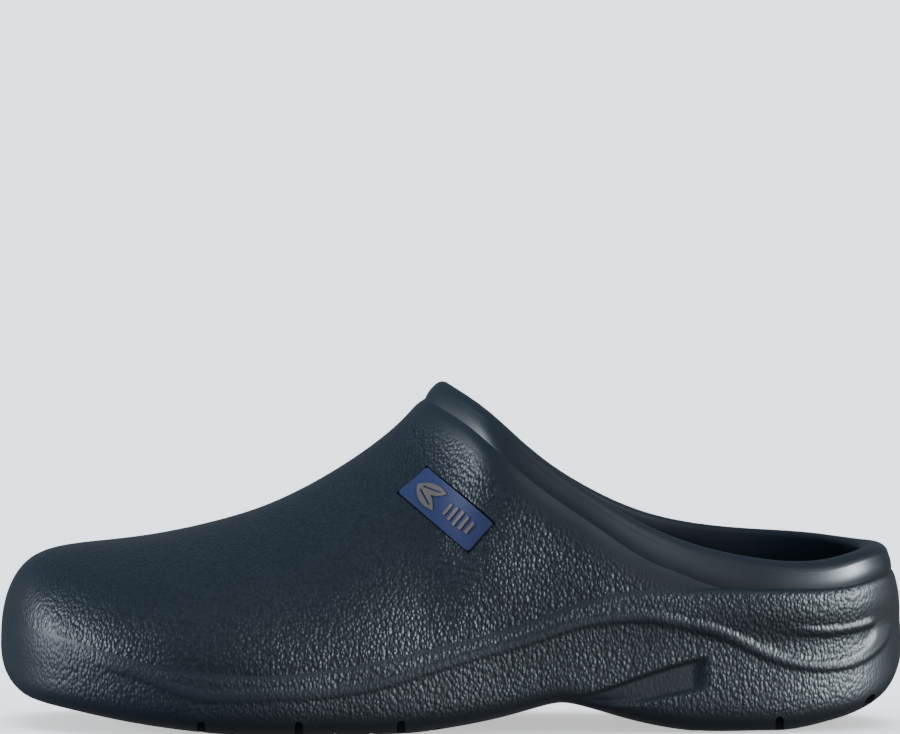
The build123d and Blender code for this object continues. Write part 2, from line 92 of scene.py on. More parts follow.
FOOT_SPACE_ENDS = (-134.5, 132)
FOOT_SPACE_WIDTH = [(-142.5, 0.86), (-118, 0.875), (-66, 0.885), (-15, 0.872), (15, 0.862), (48, 0.83),
    (85, 0.815), (110, 0.84), (142.5, 0.88)]
FOOT_SPACE_CREST = [(-142.5, 29), (-141, 37.5), (-138.5, 42.5), (-133.8, 47), (-124.2, 50.2),
    (-111.5, 51.8), (-98.8, 53.5), (-86.1, 55.7), (-73.4, 58.7), (-60.7, 62.4), (-48, 67.6), (-35.3, 74.4),
    (-22.6, 82.8), (-8.6, 95), (2, 106.5), (14.5, 119), (25, 122), (37, 117), (48, 111), (67, 97), (85, 89),
    (110, 86), (125, 80), (133, 71), (139.5, 53), (142.5, 34)]
FOOT_SPACE_DEPTH = 3.0  # how far the section dips below the floor before it is cut to it
FOOT_SPACE_WIDEST = 5.0  # height over the floor at which the foot space is widest
FLOOR = [(-142.5, 19), (-120, 16.2), (-95, 14.4), (-70, 13.8), (-40, 14.2), (0, 17.2), (35, 21), (70, 23.3),
    (100, 23.8), (142.5, 24.2)]
RIM = [(-30, 126.6), (-12, 115.1), (-3, 109.1), (11.1, 99.6), (25.7, 86.6), (43.2, 74.3), (60, 65.5),
    (78.8, 59.6), (95.3, 57), (111.5, 55.9), (123.6, 56.2), (133, 57.4), (150, 60.5)]
RIM_TILT = [(-30, -4.5), (-3, -4.5), (25.7, -4.5), (43.2, -3.4), (60, -0.9), (78.8, 2.5), (95.3, 4.8),
    (111.5, 6), (123.6, 4), (134, 0), (150, 0)]
RIM_TILT_SPAN = 72.0  # distance across the opening over which the tilt is measured

# ---- details that the CAD leaves plain
BAND_EDGE = [(-30, 120), (-3.2, 101.5), (6, 95.8), (21.2, 82), (36.6, 70.5), (47.2, 63.4), (57.7, 56.3),
    (68.2, 51.4), (83.8, 48.2), (100, 47), (150, 47)]
RIM_SIDE_Y = -33.0  # where the outer side's rim is, for the height of the band
BAND_IN_SOLE = 2.2  # how far the band reaches down into the sole over the heel
BAND_HIDDEN = 4.5  # how far under the rim the upper ends, inside the band
BAND_ROUND = 3.0  # depth of the rounded top of the band
SOLE_TOP = [(-150, 33.5), (-130, 31.8), (-117.9, 29.1), (-97.2, 23.6), (-77.8, 20.6), (-50.8, 19.9),
    (-31.8, 22.2), (-3.5, 28.1), (28.9, 37.3), (45, 43), (60, 45.2), (84, 45.6), (108, 45.2), (117, 45.3),
    (126, 46.2), (135, 48.2), (150, 51)]
# how far the sole stands out under its top edge
LEDGE = [(-150, 0), (-116, 0), (-85, 0.4), (-20, 0.5), (30, 0.7), (60, 0.9), (84, 1.6), (108, 2.4),
    (128, 2.1), (138, 1.3), (150, 1.3)]
SIDE_RIB = [(-128.7, 33.2), (-125.5, 29.4), (-117.9, 25.9), (-109.3, 23), (-97.2, 19.5), (-89.3, 16.4),
    (-79.4, 13.4), (-66.4, 12.9), (-50.8, 13.5), (-34, 14.5), (-22.9, 16.4), (-10.8, 19.9), (11.8, 26.5),
    (24.8, 30), (38.8, 34.5), (50.5, 36.4), (60, 36.7), (69.6, 35.4), (78.5, 33)]
HEEL_LOOP = [(77, 34), (83.5, 31.9), (90.5, 29), (97.4, 25.6), (104.6, 22.7), (111.5, 21.2), (119, 20.9),
    (126.5, 22.2), (132.4, 25.4), (135.4, 29.6), (135.8, 33.8)]
HEEL_LOOP_HALF_WIDTH = [(0, 1.6), (0.5, 1.5), (0.8, 2.2), (1, 3.2)]  # by share of its length
HEEL_LOOP_TOP = [(131.5, 33.6), (126, 32.4), (118, 31.7), (109.9, 32.1), (101, 33.2)]
WEDGE_TOP = [(33, 10.6), (44.5, 13.3), (56.6, 17.3), (67.2, 20.8), (80.1, 24.3)]
WEDGE_BOTTOM = [(33, 10.4), (41, 8.6), (51.5, 9.1), (60, 10), (67.2, 11.6), (80.1, 14.1)]


# ---- curves and forms
def stretch(x):
    """Coordinate in which a round tip is a smooth graph: an angle from 0 at the toe to pi at the heel."""
    return np.arccos(np.clip(-np.asarray(x, float) / HALF_LENGTH, -1.0, 1.0))


def natural_cubic(knots, values, samples=4000):
    """The natural cubic through the values, tabulated finely, as a function."""
    knots = np.asarray(knots, float)
    values = np.asarray(values, float)
    gap = np.diff(knots)
    slope = np.diff(values) / gap
    size = len(knots)
    system = np.eye(size)
    right = np.zeros(size)
    for i in range(1, size - 1):
        system[i, i - 1:i + 2] = gap[i - 1], 2 * (gap[i - 1] + gap[i]), gap[i]
        right[i] = 6 * (slope[i] - slope[i - 1])
    bend = np.linalg.solve(system, right)
    grid = np.linspace(knots[0], knots[-1], samples)
    i = np.clip(np.searchsorted(knots, grid) - 1, 0, size - 2)
    a, b, h = knots[i + 1] - grid, grid - knots[i], gap[i]
    table = ((bend[i] * a ** 3 + bend[i + 1] * b ** 3) / (6 * h)
             + (values[i] / h - bend[i] * h / 6) * a + (values[i + 1] / h - bend[i + 1] * h / 6) * b)
    return lambda t: np.interp(t, grid, table)


def tip_curve(points):
    value = natural_cubic([stretch(x) for x, _ in points], [v for _, v in points])
    return lambda x: value(stretch(x))


def plain_curve(points):
    return natural_cubic([x for x, _ in points], [v for _, v in points])


outer_side, inner_side = tip_curve(OUTER_SIDE), tip_curve(INNER_SIDE)
crest, widest, underside = tip_curve(CREST), tip_curve(WIDEST), tip_curve(UNDERSIDE)
crest_line, spread, rise = tip_curve(CREST_LINE), tip_curve(SPREAD), tip_curve(RISE)
foot_width, foot_crest = tip_curve(FOOT_SPACE_WIDTH), tip_curve(FOOT_SPACE_CREST)
floor_height = tip_curve(FLOOR)
rim_mean, rim_tilt = plain_curve(RIM), plain_curve(RIM_TILT)
sole_top, band_edge = plain_curve(SOLE_TOP), plain_curve(BAND_EDGE)
ledge_reach = plain_curve(LEDGE)
side_rib = plain_curve(SIDE_RIB)
wedge_top, wedge_bottom = plain_curve(WEDGE_TOP), plain_curve(WEDGE_BOTTOM)


def smoothstep(low, high, value):
    """0 up to low, 1 from high on, and a smooth rise between them."""
    t = np.clip((value - low) / (high - low), 0, 1)
    return t * t * (3 - 2 * t)


def rim_height(x, y):
    return rim_mean(x) + y / RIM_TILT_SPAN * rim_tilt(x)


def band_bottom(x, y):
    """Height of the band's lower edge: as far below the rim on both sides, and in the sole at the heel."""
    hung = rim_height(x, y) - (rim_height(x, RIM_SIDE_Y) - band_edge(x))
    return hung + (sole_top(x) - BAND_IN_SOLE - hung) * smoothstep(68, 98, x)


def band_gap(x, y, z):
    """How far points on the upper are below the band's lower edge, square to that edge."""
    slope = (band_edge(x + 1) - band_edge(x - 1)) / 2
    return (band_bottom(x, y) - z) / np.hypot(1, slope)


def section_level(x, y, z, half, low, wide, high):
    """Under 1 inside the section with these sizes, over 1 outside it."""
    above = np.maximum(z - wide, 0.0) / np.maximum(high - wide, 1e-3)
    below = np.maximum(wide - z, 0.0) / np.maximum(wide - low, 1e-3)
    middle = (outer_side(x) + inner_side(x)) / 2
    middle = middle + (crest_line(x) - middle) * np.minimum(above, 1.2) ** CREST_DRIFT
    across = np.abs(y - middle) / np.maximum(half, 1e-3)
    soft = CREST_ROUNDING
    soft_across = (np.hypot(across, soft) - soft) / (math.hypot(1.0, soft) - soft)
    upper = np.minimum(soft_across, OUTSIDE) ** spread(x) + above ** rise(x)
    lower = np.minimum(across, OUTSIDE) ** SOLE_SQUARENESS + below ** SOLE_SQUARENESS
    return np.where(z >= wide, upper, lower)


def outer_level(x, y, z):
    half = (inner_side(x) - outer_side(x)) / 2
    inside = section_level(x, y, z, half, underside(x), widest(x), crest(x))
    return np.where(np.abs(x) < HALF_LENGTH, inside, OUTSIDE)


def foot_level(x, y, z):
    start, end = FOOT_SPACE_ENDS
    full = HALF_LENGTH * (2 * (x - start) / (end - start) - 1)  # x on the full-length outlines
    half = (inner_side(full) - outer_side(full)) / 2 * foot_width(full)
    base = floor_height(full)
    inside = section_level(full, y, z, half, base - FOOT_SPACE_DEPTH, base + FOOT_SPACE_WIDEST,
                           foot_crest(full))
    inside = np.where(z < floor_height(x), OUTSIDE, inside)
    return np.where(np.abs(full) < HALF_LENGTH, inside, OUTSIDE)


def cast(level, origin, way, reach=260.0, steps=24):
    """First distance along each ray at which it leaves the form."""
    near = np.zeros(way.shape[:-1])
    far = np.full(way.shape[:-1], reach)
    for _ in range(steps):
        middle = (near + far) / 2
        p = origin + way * middle[..., None]
        inside = level(p[..., 0], p[..., 1], p[..., 2]) < 1
        near = np.where(inside, middle, near)
        far = np.where(inside, far, middle)
    return origin + way * near[..., None]


# ---- columns round the clog
SPINE_TOE = np.array([-92.0, 4.0])
SPINE_HEEL = np.array([98.0, 3.0])
SPINE_HEIGHT = 26.0
THROAT_X = -5.0  # the opening's front; the columns crowd together behind it,
QUARTER_X = 25.0  # and are even again from here on


def make_columns(toe_fan, vamp, throat, quarter, heel_fan):
    """Origins and level directions of the columns, from the outer side of the waist round the toe."""
    def spine_point(x):
        along = (x - SPINE_TOE[0]) / (SPINE_HEEL[0] - SPINE_TOE[0])
        return SPINE_TOE + (SPINE_HEEL - SPINE_TOE) * along

    crowd = THROAT_X + (QUARTER_X - THROAT_X) * np.linspace(0, 1, throat, endpoint=False) ** 2
    places = np.concatenate([np.linspace(SPINE_TOE[0], THROAT_X, vamp, endpoint=False), crowd,
                             np.linspace(QUARTER_X, SPINE_HEEL[0], quarter + 1)])
    rows = [(spine_point(x), -math.pi / 2) for x in places]
    fan = np.linspace(-math.pi / 2, math.pi / 2, heel_fan + 1)[1:-1]
    rows += [(SPINE_HEEL, a) for a in fan]
    rows += [(spine_point(x), math.pi / 2) for x in places[::-1]]
    fan = np.linspace(math.pi / 2, 3 * math.pi / 2, toe_fan + 1)[1:-1]
    rows += [(SPINE_TOE, a) for a in fan]
    origin = np.array([(p[0], p[1], SPINE_HEIGHT) for p, _ in rows])
    way = np.array([(math.cos(a), math.sin(a)) for _, a in rows])
    return origin, way


def column_rays(origin, way, tilt):
    """Ray directions for tilt angles given per column and row."""
    flat = np.cos(tilt)
    return np.stack([way[:, 0, None] * flat, way[:, 1, None] * flat, np.sin(tilt)], axis=-1)


class Columns:
    """Curves up one form in every column, which can be cut at heights and divided into rows."""

    def __init__(self, level, origin, way, count=90):
        self.level, self.origin, self.way = level, origin, way
        self.tilts = np.linspace(-math.pi / 2, math.pi / 2, count)
        rays = column_rays(origin, way, np.tile(self.tilts, (len(origin), 1)))
        self.points = cast(level, origin[:, None, :], rays)
        steps = np.linalg.norm(np.diff(self.points, axis=1), axis=2)
        self.arc = np.concatenate([np.zeros((len(origin), 1)), np.cumsum(steps, axis=1)], axis=1)

    def crossing(self, height_over):
        """Arc length in each column where height_over(points) first turns positive, or its end."""
        over = height_over(self.points)
        found = self.arc[:, -1].copy()
        for c in range(len(found)):
            up = np.nonzero((over[c, 1:] > 0) & (over[c, :-1] <= 0))[0]
            if len(up):
                k = up[0]
                part = -over[c, k] / (over[c, k + 1] - over[c, k])
                found[c] = self.arc[c, k] + part * (self.arc[c, k + 1] - self.arc[c, k])
        return found

    def rows(self, start, end, fractions):
        """Points of the form at fractions of the arc from start to end, for all columns or for each."""
        targets = start[:, None] + (end - start)[:, None] * np.atleast_2d(fractions)
        tilt = np.array([np.interp(t, a, self.tilts) for t, a in zip(targets, self.arc)])
        return cast(self.level, self.origin[:, None, :], column_rays(self.origin, self.way, tilt))


def sheet_normals(points):
    """Outward unit normals of a sheet of columns (wrapping round) by rows."""
    round_way = np.roll(points, -1, axis=0) - np.roll(points, 1, axis=0)
    up_way = np.gradient(points, axis=1)
    normal = np.cross(round_way, up_way)
    length = np.linalg.norm(normal, axis=2, keepdims=True)
    return normal / np.maximum(length, 1e-9)


def path_distance(x, z, path):
    """Distance in side view from points to an open path, and the place along it from 0 to 1."""
    path = np.array(path)
    best = np.full(x.shape, 1e9)
    place = np.zeros(x.shape)
    for i in range(len(path) - 1):
        a, d = path[i], path[i + 1] - path[i]
        t = np.clip(((x - a[0]) * d[0] + (z - a[1]) * d[1]) / (d @ d), 0, 1)
        dist = np.hypot(x - a[0] - t * d[0], z - a[1] - t * d[1])
        place = np.where(dist < best, (i + t) / (len(path) - 1), place)
        best = np.minimum(best, dist)
    return best, place


def smooth_path(points, count=60):
    """A smooth dense path through the points."""
    t = np.linspace(0, 1, len(points))
    fx = natural_cubic(t, [p[0] for p in points])
    fz = natural_cubic(t, [p[1] for p in points])
    s = np.linspace(0, 1, count)
    return list(zip(fx(s), fz(s)))


# ---- mesh helpers
def mesh_piece(name, vertices, faces, material, smooth=True):
    """Mesh object from millimetre vertices."""
    mesh = bpy.data.meshes.new(name)
    mesh.from_pydata((np.asarray(vertices) * MM).tolist(), [], faces)
    mesh.validate()
    piece = bpy.data.objects.new(name, mesh)
    bpy.context.scene.collection.objects.link(piece)
    mesh.materials.append(material)
    if smooth:
        mesh.shade_smooth()
    return piece


def grid_faces(columns, rows, first=0, wrap=True, flip=False):
    """Quads of a sheet whose vertex (c, r) is number first + c * rows + r."""
    c = np.arange(columns if wrap else columns - 1)
    r = np.arange(rows - 1)
    c, r = np.meshgrid(c, r, indexing="ij")
    right = (c + 1) % columns
    quads = np.stack([c * rows + r, right * rows + r, right * rows + r + 1, c * rows + r + 1], axis=-1)
    quads = quads.reshape(-1, 4) + first
    return quads[:, ::-1] if flip else quads


def weld(piece, distance):
    """Merge the doubled vertices along the seams, and drop what has no area."""
    work = bmesh.new()
    work.from_mesh(piece.data)
    bmesh.ops.remove_doubles(work, verts=work.verts, dist=distance * MM)
    bmesh.ops.dissolve_degenerate(work, dist=distance * MM * 0.5, edges=work.edges)
    bmesh.ops.recalc_face_normals(work, faces=work.faces)
    work.to_mesh(piece.data)
    work.free()
    piece.data.update()


def set_grain(piece, values):
    """Give the material the depth of its pebbled skin at each vertex, which also sets how strong the painted
    shade between the pebbles is.
    """
    attribute = piece.data.attributes.new("grain", "FLOAT", "POINT")
    attribute.data.foreach_set("value", np.asarray(values, np.float32))


def sheet_piece(name, sheet, material, distance):
    """Closed piece from a sheet of columns by rows whose ends meet, welded over that distance."""
    columns, rows = sheet.shape[:2]
    piece = mesh_piece(name, sheet.reshape(-1, 3), grid_faces(columns, rows).tolist(), material)
    weld(piece, distance)
    return piece


def apply_modifiers(piece):
    """Bake the piece's modifiers into its mesh."""
    graph = bpy.context.evaluated_depsgraph_get()
    mesh = bpy.data.meshes.new_from_object(piece.evaluated_get(graph))
    piece.modifiers.clear()
    piece.data = mesh


def vertex_positions(piece):
    """Vertex positions in millimetres."""
    flat = np.empty(len(piece.data.vertices) * 3)
    piece.data.vertices.foreach_get("co", flat)
    return flat.reshape(-1, 3) / MM


# ---- materials
PEBBLE_STRETCH = (1, 1, 0.62)  # the pebbles are taller than wide on the walls
PEBBLE_WARP = 0.0005  # share of the noise that bends the pebbles' outlines
PEBBLE_DEPTH = 0.28 * MM
WRINKLE_SHARE = 0.28  # of the fine wrinkles between the pebbles
PEEL_DEPTH = 0.12 * MM


def new_material(name, base_color, roughness):
    material = bpy.data.materials.new(name)
    material.use_nodes = True
    shader = material.node_tree.nodes["Principled BSDF"]
    shader.inputs["Base Color"].default_value = (*base_color, 1)
    shader.inputs["Roughness"].default_value = roughness
    return material, shader


def add_node(material, kind, **values):
    """A node with its sockets set by name, and its settings by attribute."""
    node = material.node_tree.nodes.new(kind)
    for key, value in values.items():
        if key in node.inputs:
            node.inputs[key].default_value = value
        else:
            setattr(node, key, value)
    return node


def link(material, source, target):
    material.node_tree.links.new(source, target)


def feed(material, socket, value):
    """Set a socket to a number, or link it to another node's socket."""
    if isinstance(value, (int, float)):
        socket.default_value = value
    else:
        link(material, value, socket)


def math_node(material, operation, first, second):
    """A math node; each operand is a socket or a number."""
    node = add_node(material, "ShaderNodeMath", operation=operation)
    for i, value in enumerate((first, second)):
        feed(material, node.inputs[i], value)
    return node.outputs[0]


def coordinates(material, scale=(1, 1, 1)):
    source = add_node(material, "ShaderNodeTexCoord")
    mapping = add_node(material, "ShaderNodeMapping", Scale=scale)
    link(material, source.outputs["Object"], mapping.inputs["Vector"])
    return mapping.outputs["Vector"]


def texture(material, kind, place, **values):
    """A texture node laid out by the coordinates in place."""
    node = add_node(material, "ShaderNodeTex" + kind, **values)
    link(material, place, node.inputs["Vector"])
    return node


def remap(material, value, low, high, start=0.0, end=1.0):
    """A value from start to end turned into one from low to high."""
    node = add_node(material, "ShaderNodeMapRange")
    for name, number in (("From Min", start), ("From Max", end), ("To Min", low), ("To Max", high)):
        node.inputs[name].default_value = number
    link(material, value, node.inputs["Value"])
    return node.outputs[0]


def add_bump(material, shader, height, distance, strength):
    bump = add_node(material, "ShaderNodeBump", Distance=distance)
    feed(material, bump.inputs["Strength"], strength)
    link(material, height, bump.inputs["Height"])
    link(material, bump.outputs["Normal"], shader.inputs["Normal"])


def clog_material(name, base_color, glossiest, dullest):
    """Moulded foam rubber with a pebbled skin, as deep as the mesh's attribute "grain" says, with painted
    shade in the hollows between the pebbles and painted light on their tops.
    """
    material, shader = new_material(name, base_color, glossiest)
    shader.inputs["Specular IOR Level"].default_value = 0.42
    place = coordinates(material, PEBBLE_STRETCH)
    warp = texture(material, "Noise", place, Scale=420.0, Detail=2.0)
    warped = add_node(material, "ShaderNodeMix", data_type="VECTOR")
    feed(material, warped.inputs[0], PEBBLE_WARP)
    link(material, place, warped.inputs[4])
    link(material, warp.outputs["Color"], warped.inputs[5])
    cells = texture(material, "Voronoi", warped.outputs[1], feature="SMOOTH_F1", Scale=1050.0,
                    Smoothness=0.25)
    wrinkles = texture(material, "Noise", place, Scale=1500.0, Detail=3.0, Roughness=0.6)
    patches = texture(material, "Noise", place, Scale=55.0, Detail=3.0)
    fine = math_node(material, "MULTIPLY", wrinkles.outputs[0], WRINKLE_SHARE)
    pebbles = math_node(material, "MULTIPLY", cells.outputs["Distance"], -1.0)
    height = math_node(material, "ADD", pebbles, fine)
    grain = add_node(material, "ShaderNodeAttribute", attribute_name="grain")
    uneven = math_node(material, "ADD", patches.outputs[0], 0.45)
    strong = math_node(material, "MULTIPLY", grain.outputs["Fac"], uneven)
    depth = math_node(material, "MULTIPLY", strong, 0.95)
    depth = math_node(material, "ADD", depth, 0.03)
    add_bump(material, shader, height, PEBBLE_DEPTH, depth)
    link(material, remap(material, patches.outputs[0], glossiest, dullest), shader.inputs["Roughness"])
    # painted shade: the colour is darker in the hollows between the pebbles and lighter on their tops, as
    # strong as the grain
    painted_pebble_shade = remap(material, cells.outputs["Distance"], 1.25, 0.7, start=0.1, end=0.8)
    painted_shade_mix = add_node(material, "ShaderNodeMix", data_type="RGBA", blend_type="MULTIPLY")
    link(material, grain.outputs["Fac"], painted_shade_mix.inputs[0])
    painted_shade_mix.inputs[6].default_value = (*base_color, 1)
    link(material, painted_pebble_shade, painted_shade_mix.inputs[7])
    link(material, painted_shade_mix.outputs[2], shader.inputs["Base Color"])
    return material


def fibre_material(name, base_color, second_color, scale=1400.0, bump_depth=0.0003):
    """Short felt: fibres in two tones, matt with a soft sheen."""
    material, shader = new_material(name, base_color, 0.95)
    shader.inputs["Sheen Weight"].default_value = 0.35
    shader.inputs["Sheen Roughness"].default_value = 0.6
    place = coordinates(material)
    fibres = texture(material, "Noise", place, Scale=scale, Detail=5.0, Roughness=0.7, Distortion=1.2)
    clouds = texture(material, "Noise", place, Scale=90.0, Detail=3.0)
    both = math_node(material, "ADD", fibres.outputs[0], clouds.outputs[0])
    ramp = add_node(material, "ShaderNodeValToRGB")
    for stop, position, color in zip(ramp.color_ramp.elements, (0.35, 0.65), (base_color, second_color)):
        stop.position = position
        stop.color = (*color, 1)
    link(material, math_node(material, "MULTIPLY", both, 0.5), ramp.inputs[0])
    link(material, ramp.outputs[0], shader.inputs["Base Color"])
    add_bump(material, shader, fibres.outputs[0], bump_depth, 0.8)
    return material


def plastic_material(name, base_color, roughness, metallic=0.0):
    """Moulded plastic with a faint orange peel."""
    material, shader = new_material(name, base_color, roughness)
    shader.inputs["Metallic"].default_value = metallic
    peel = texture(material, "Noise", coordinates(material), Scale=900.0, Detail=2.0)
    add_bump(material, shader, peel.outputs[0], PEEL_DEPTH, 0.5)
    tone = remap(material, peel.outputs[0], roughness * 0.85, roughness * 1.2)
    link(material, tone, shader.inputs["Roughness"])
    return material


UPPER_RUBBER = clog_material("upper_rubber", (0.0058, 0.0125, 0.0200), 0.36, 0.48)
SOLE_RUBBER = clog_material("sole_rubber", (0.0058, 0.0130, 0.0215), 0.42, 0.54)
FELT = fibre_material("felt", (0.020, 0.010, 0.0075), (0.058, 0.031, 0.023))
FOAM = fibre_material("foam", (0.020, 0.018, 0.018), (0.040, 0.036, 0.034), 700.0, 0.0002)
THREAD = fibre_material("thread", (0.26, 0.17, 0.12), (0.42, 0.29, 0.20), 5000.0, 0.00005)
INK = plastic_material("ink", (0.006, 0.006, 0.010), 0.6)
BADGE_BLUE = plastic_material("badge_blue", (0.012, 0.022, 0.085), 0.42)
BADGE_GREY = plastic_material("badge_grey", (0.15, 0.135, 0.13), 0.38, 0.5)

# ---- the sheets of the shell
ORIGIN, WAY = make_columns(toe_fan=150, vamp=80, throat=44, quarter=92, heel_fan=144)
OUTER = Columns(outer_level, ORIGIN, WAY)
FOOT = Columns(foot_level, ORIGIN, WAY)
UNDERSIDE_SHARE = 0.40  # of each column that lies under the sole, with coarser rows
UNDERSIDE_ROWS, WALL_ROWS, FOOT_ROWS = 12, 82, 18
RIB_HEIGHT, RIB_GROWTH = 0.35, 0.3  # at the toe, and how much it grows towards the heel
LOOP_HEIGHT = 0.75
WEDGE_DEPTH = 1.5
UPPER_ROWS, LINING_ROWS = 84, 30
EVEN_ROWS = 0.8  # share of the upper's rows that are alike in neighbouring columns,
EVEN_SHARE = 0.93  # how much of a column they cover,
EVEN_STEP = 0.8  # and how much their length may differ from one column to the next
BAND_SWELL = 0.55  # the upper's skin swells under the band's lower edge


def at_sole_top(columns):
    return columns.crossing(lambda p: p[..., 2] - sole_top(p[..., 0]))


def side_masks(x, z):
    """How much of the side rib, heel loop and arch recess there is at x, z, each from 0 to 1."""
    places = np.linspace(SIDE_RIB[0][0], SIDE_RIB[-1][0], 211)
    slope = np.gradient(side_rib(places), places)
    off = (z - side_rib(x)) / np.hypot(1, np.interp(x, places, slope))
    fade = smoothstep(-120, -98, x) * (1 - smoothstep(74, 79, x))
    rib = (1 - smoothstep(0.7, 2.3, np.abs(off))) * fade
    dist, place = path_distance(x, z, smooth_path(HEEL_LOOP))
    half = np.interp(place, *zip(*HEEL_LOOP_HALF_WIDTH))
    loop = (1 - smoothstep(half - 0.9, half + 0.9, dist)) * smoothstep(70, 80, x)
    loop = loop * (1 - smoothstep(0.85, 1.0, place))
    dist, place = path_distance(x, z, smooth_path(HEEL_LOOP_TOP))
    loop = np.maximum(loop, (1 - smoothstep(0.3, 2.1, dist)) * (1 - smoothstep(0.5, 1.0, place)))
    lower, upper = wedge_bottom(x), wedge_top(x)
    wedge = smoothstep(-0.8, 1.2, z - lower) * (1 - smoothstep(-1.4, 0.5, z - upper))
    wedge = wedge * smoothstep(34, 48, x) * (1 - smoothstep(76.0, 81.5, x))
    return rib, loop, wedge


def make_sole():
    """Closed sole unit: underside, side wall, top edge, inner wall and insole floor."""
    edge = at_sole_top(OUTER)
    zero = np.zeros(len(edge))
    fractions = np.concatenate([np.linspace(0, UNDERSIDE_SHARE, UNDERSIDE_ROWS, endpoint=False),
                                np.linspace(UNDERSIDE_SHARE, 1, WALL_ROWS)])
    outer = OUTER.rows(zero, edge, fractions)
    normals = sheet_normals(outer)
    x, z = outer[..., 0], outer[..., 2]
    below = sole_top(x) - z
    crisp = 0.25 * smoothstep(-40, 40, x) + 0.75 * smoothstep(72, 96, x)
    soft = smoothstep(0, 2.8, below)
    radius = 1.5 + 2.0 * smoothstep(80, 110, x)
    round_edge = np.sqrt(1 - np.clip(1 - below / radius, 0, 1) ** 2)
    rounding = soft + (round_edge - soft) * crisp
    ledge = ledge_reach(x) * (1 - smoothstep(6.0, 18.0, below)) * rounding
    rib, loop, wedge = side_masks(x, z)
    wall = smoothstep(0.35, 0.75, np.linalg.norm(normals[..., :2], axis=2))
    rib_height = RIB_HEIGHT + RIB_GROWTH * smoothstep(-60, 40, x)
    move = wall * (rib_height * rib + LOOP_HEIGHT * loop - WEDGE_DEPTH * wedge + ledge)
    outer = outer + normals * move[..., None]
    outer[..., 2] = np.maximum(outer[..., 2], 0.0)
    inner = FOOT.rows(at_sole_top(FOOT), zero, np.linspace(0, 1, FOOT_ROWS))
    return sheet_piece("sole", np.concatenate([outer, inner], axis=1), SOLE_RUBBER, 0.02)


def make_upper():
    """Closed upper: outer skin and foot space wall, up to inside the collar band.

    Beside the throat one column ends at the band and the next at the crest: only their last rows differ.
    """
    def skin(columns, count):
        start = at_sole_top(columns)
        end = columns.crossing(lambda p: p[..., 2] - rim_height(p[..., 0], p[..., 1]) + BAND_HIDDEN)
        end = np.maximum(end, start + 0.5)
        apart = np.abs(np.subtract.outer(np.arange(len(end)), np.arange(len(end))))
        apart = np.minimum(apart, len(end) - apart)
        even = np.min((end - start)[None, :] + EVEN_STEP * apart, axis=1)
        middle = EVEN_SHARE * even / (end - start)
        low_rows = int(EVEN_ROWS * count)
        share = np.concatenate([np.outer(middle, np.linspace(0, 1, low_rows, endpoint=False)),
                                np.linspace(middle, 1, count - low_rows, axis=1)], axis=1)
        return columns.rows(start, end, share), columns.arc[:, -1] - end < 0.01

    outer, closed = skin(OUTER, UPPER_ROWS)
    inner, _ = skin(FOOT, LINING_ROWS)
    gap = band_gap(*np.moveaxis(outer, -1, 0))
    near_band = np.exp(-((gap - 2.6) / 6.5) ** 2) * smoothstep(-2.0, 3.0, gap)
    under_band = smoothstep(2.0, -3.0, gap)
    strong = 1 - smoothstep(25, 62, outer[..., 0])
    swell = BAND_SWELL * near_band * strong - (0.15 + 0.25 * strong) * under_band
    outer = outer + sheet_normals(outer) * swell[..., None]
    columns, rows = outer.shape[:2]
    deep = inner.shape[1]
    size = columns * rows
    faces = grid_faces(columns, rows).tolist() + grid_faces(columns, deep, size, flip=True).tolist()
    for c in range(columns):
        d = (c + 1) % columns
        inside_c, inside_d = size + c * deep, size + d * deep
        faces.append([c * rows, d * rows, inside_d, inside_c])
        if not (closed[c] and closed[d]):
            faces.append([d * rows + rows - 1, c * rows + rows - 1,
                          inside_c + deep - 1, inside_d + deep - 1])
    vertices = np.concatenate([outer.reshape(-1, 3), inner.reshape(-1, 3)])
    piece = mesh_piece("upper", vertices, faces, UPPER_RUBBER)
    weld(piece, 0.02)
    return piece


# ---- collar band
OPENING_CENTRE = np.array([66.0, 1.0])
OPENING_REACH = 90.0  # farthest that the rim can be from that centre
BAND_COLUMNS = 560
BAND_BULGE = 0.045  # of the band's face, as a share of the wall's thickness
LIP_AT_THROAT, LIP_AT_HEEL = 0.20, 0.10  # how far the band leans out there, as such a share


def rim_loop(level, depth, angles):
    """Points of the form that lie depth under the rim, in each direction from the opening's centre."""
    way = np.stack([np.cos(angles), np.sin(angles)], axis=-1)
    near, far = np.zeros(len(angles)), np.full(len(angles), OPENING_REACH)
    for _ in range(26):
        middle = (near + far) / 2
        x = OPENING_CENTRE[0] + way[:, 0] * middle
        y = OPENING_CENTRE[1] + way[:, 1] * middle
        inside = level(x, y, rim_height(x, y) - depth) < 1
        near, far = np.where(inside, middle, near), np.where(inside, far, middle)
    x = OPENING_CENTRE[0] + way[:, 0] * near
    y = OPENING_CENTRE[1] + way[:, 1] * near
    return np.stack([x, y, rim_height(x, y) - depth], axis=-1)


def even_angles(level, count):
    """Directions from the opening's centre that space the rim's points evenly."""
    angles = np.linspace(-math.pi, math.pi, 1441)
    loop = rim_loop(level, 2.0, angles)
    arc = np.concatenate([[0], np.cumsum(np.linalg.norm(np.diff(loop, axis=0), axis=1))])
    return np.interp(np.linspace(0, arc[-1], count + 1)[:-1], arc, angles)


